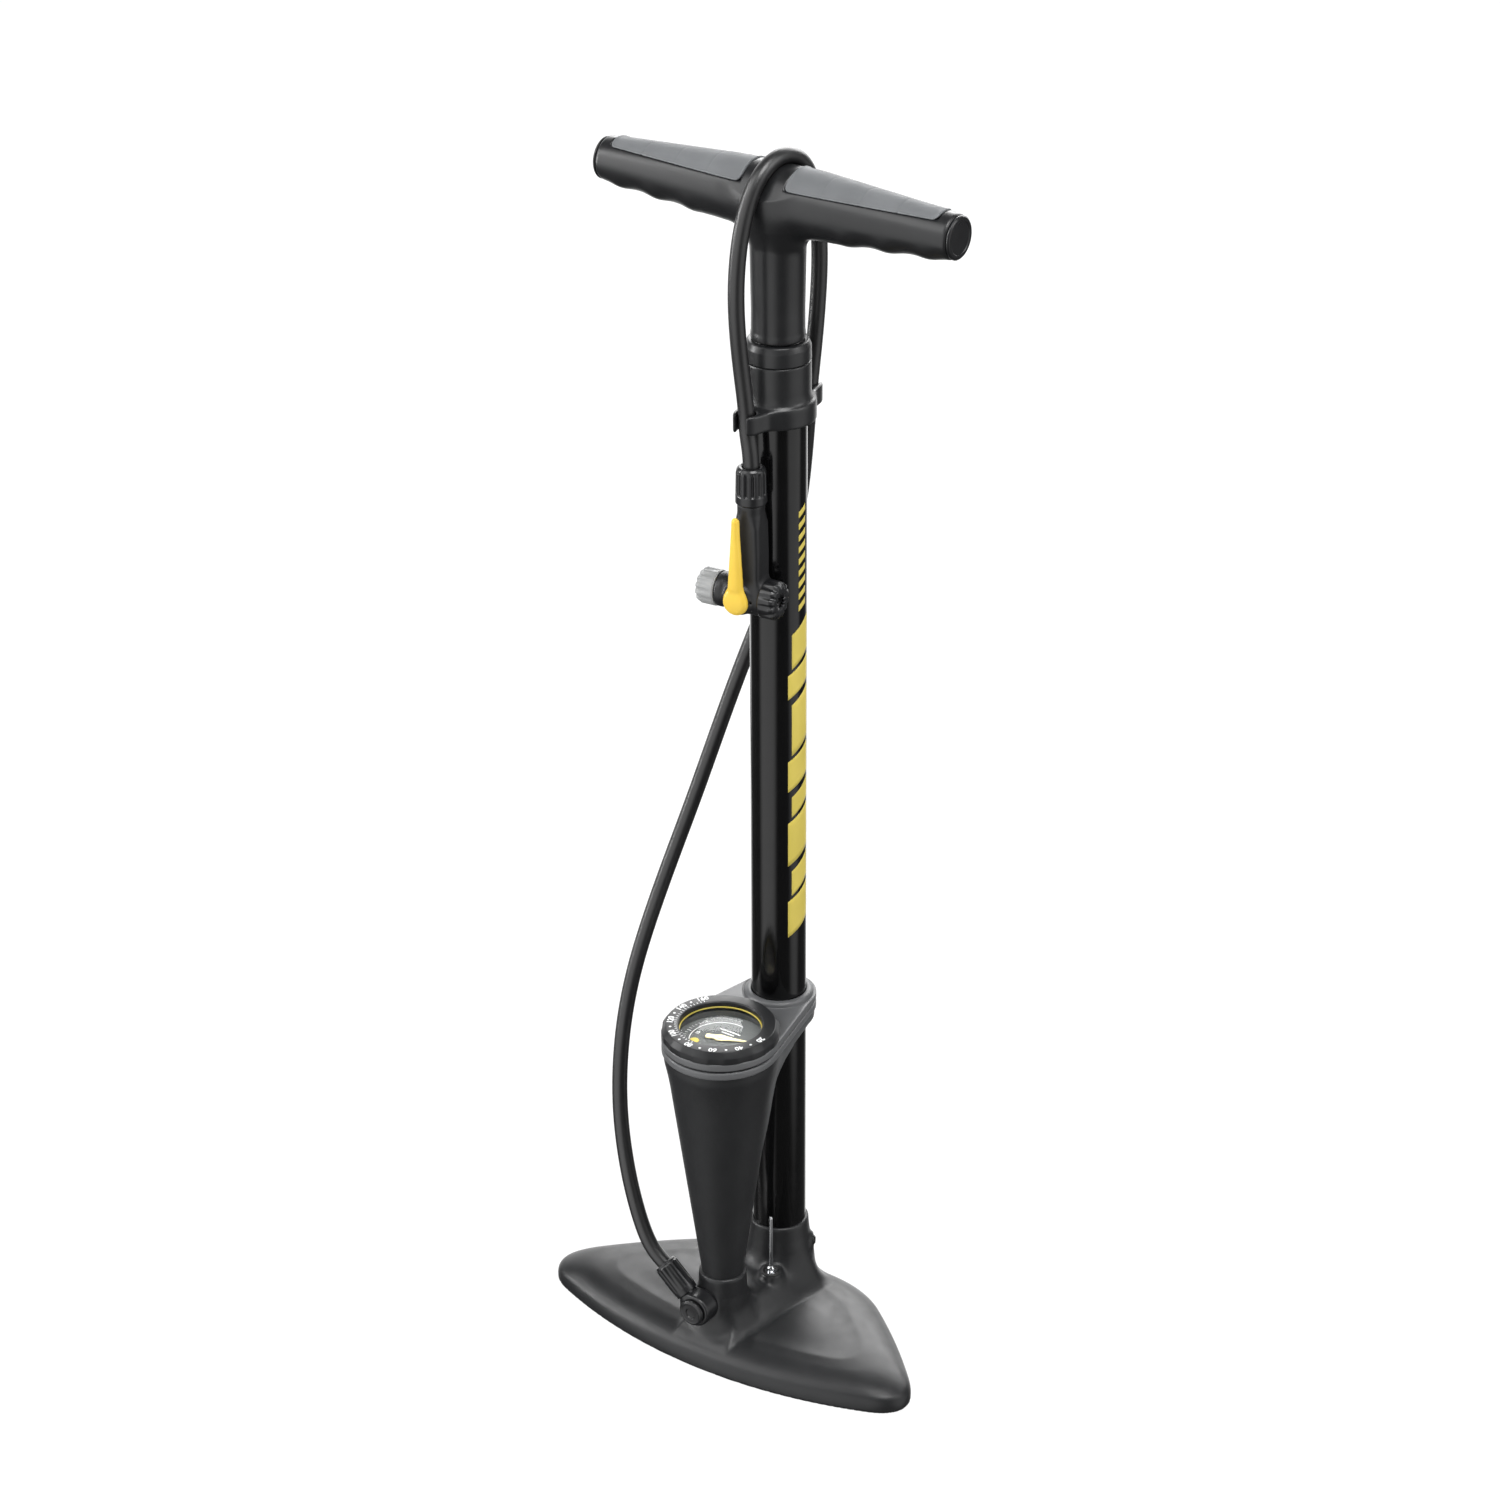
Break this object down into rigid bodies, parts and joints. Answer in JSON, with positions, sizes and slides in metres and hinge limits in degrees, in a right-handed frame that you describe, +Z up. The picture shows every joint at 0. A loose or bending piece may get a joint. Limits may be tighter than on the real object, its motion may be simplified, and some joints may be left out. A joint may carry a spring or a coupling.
{
  "type": "floor bike pump",
  "caption": "Floor bike pump: broad moulded foot, upright barrel, T-handle plunger, tapered post topped by a dial gauge, and an air hose looped over the handle to a lever-locked valve head.",
  "frame": {"origin": "where the barrel's axis meets the floor that the foot plate stands on", "axes": "+Z up along the barrel's axis, -Y towards the front, where the gauge post stands, +X to the right for someone facing the gauge"},
  "size_m": [0.2338, 0.1236, 0.6847],
  "materials": {
    "moulded_plastic": "satin, finely textured",
    "black_plastic": "satin",
    "barrel_paint": "gloss",
    "bracket_plastic": "satin",
    "cap_plastic": "satin",
    "pad_rubber": "matte",
    "black_rubber": "matte",
    "hose_rubber": "semi-gloss",
    "steel": "plain",
    "black_steel": "satin",
    "chrome": "polished",
    "brass": "plain",
    "yellow_plastic": "satin",
    "dial_paint": "printed, satin",
    "lens": "clear"
  },
  "bodies": {
    "base": {"base_shell": "moulded_plastic", "socket_screws": "black_steel", "barrel": "barrel_paint", "foot_plug": "bracket_plastic", "foot_oring": "black_rubber", "valve_retainer": "brass", "check_valve_spring": "steel", "air_duct": "steel", "manifold": "brass", "gauge_feed_tube": "steel", "gauge_post": "moulded_plastic", "bracket_lower": "bracket_plastic", "bracket_gasket": "black_plastic", "bracket_upper": "bracket_plastic", "gauge_case": "steel", "bourdon_tube": "brass", "movement_plate": "brass", "dial_face": "dial_paint", "gauge_bezel": "black_plastic", "dial_ring": "yellow_plastic", "gauge_lens": "lens", "elbow": "black_plastic", "banjo_bolt": "black_plastic", "banjo_seals": "black_rubber", "base_hose_nut": "black_plastic", "hose": "hose_rubber", "head_hose_nut": "black_plastic", "head_body": "black_plastic", "left_valve_seal": "black_rubber", "left_valve_cap": "cap_plastic", "right_valve_seal": "black_rubber", "right_valve_cap": "black_plastic", "hose_clip": "moulded_plastic", "barrel_cap": "moulded_plastic", "rod_bushing": "bracket_plastic", "rod_wiper": "black_rubber", "needle_bush": "chrome"},
    "plunger": {"handle_core": "moulded_plastic", "grip_pad_left": "pad_rubber", "grip_pad_right": "pad_rubber", "end_plug_left": "black_plastic", "end_plug_right": "black_plastic", "rod_insert": "brass", "piston_rod": "steel", "rod_bumper": "black_rubber", "piston_head": "black_plastic", "piston_seal": "black_rubber", "piston_washer": "steel", "piston_nut": "steel"},
    "needle": {"gauge_needle": "yellow_plastic", "needle_spindle": "steel"},
    "check_valve": {"check_valve_poppet": "brass"},
    "lever": {"lock_lever": "yellow_plastic", "lever_shaft": "steel"},
    "pusher": {"valve_pusher": "bracket_plastic"},
    "ball_needle": {"ball_needle": "chrome"}
  },
  "joints": [
    {"name": "plunger_slide", "type": "slide", "parent": "base", "child": "plunger", "axis": [0, 0, 1], "range_m": [0, 0.475], "deforming": ["hose"]},
    {"name": "needle_turn", "type": "hinge", "parent": "base", "child": "needle", "pos_m": [0, -0.0555, 0.199], "axis": [0, 0, 1], "range_deg": [-231, 0], "stiffness_Nm_per_rad": 0.0001},
    {"name": "check_valve_slide", "type": "slide", "parent": "base", "child": "check_valve", "axis": [0, 0, -1], "range_m": [0, 0.002], "stiffness_N_per_m": 60, "springref_m": -0.003, "deforming": ["check_valve_spring"]},
    {"name": "lever_turn", "type": "hinge", "parent": "base", "child": "lever", "pos_m": [-0.00218, -0.02591, 0.451], "axis": [0.1045, -0.9945, 0], "range_deg": [-90, 90]},
    {"name": "pusher_slide", "type": "slide", "parent": "base", "child": "pusher", "axis": [-0.9945, -0.1045, 0], "range_m": [-0.0015, 0.0015]},
    {"name": "ball_needle_lift", "type": "slide", "parent": "base", "child": "ball_needle", "axis": [0, 0, 1], "range_m": [0, 0.05]}
  ],
  "couplings": [
    {"joint": "pusher_slide", "follows": "lever_turn", "m_per_rad": 0.00095}
  ]
}
